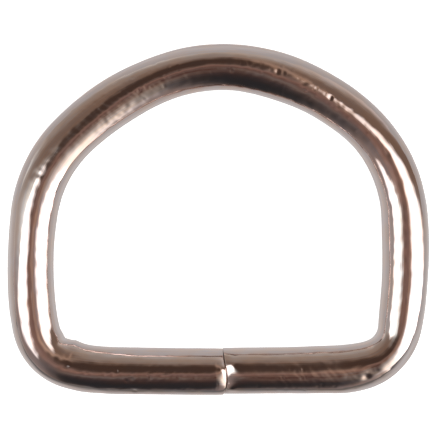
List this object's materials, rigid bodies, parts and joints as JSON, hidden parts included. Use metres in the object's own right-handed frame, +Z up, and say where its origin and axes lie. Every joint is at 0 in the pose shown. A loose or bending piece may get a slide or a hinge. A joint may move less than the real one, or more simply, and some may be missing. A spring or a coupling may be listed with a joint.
{
  "type": "d ring",
  "caption": "D-shaped loop of bent round wire with a butt seam in its flat bar; a strap goes round the bar and a hook or cord round the crown.",
  "frame": {"origin": "on the ground under the middle of the ring's outline, with the ring lying flat", "axes": "+X to the right along the bar, +Y from the bar to the crown, +Z up through the ring's opening"},
  "size_m": [0.032, 0.0266, 0.0035],
  "materials": {
    "nickel_plating": "bright nickel plating on steel wire, with fine lines drawn along the wire and a few small pits"
  },
  "bodies": {
    "root": {"d_ring": "nickel_plating"}
  },
  "joints": []
}
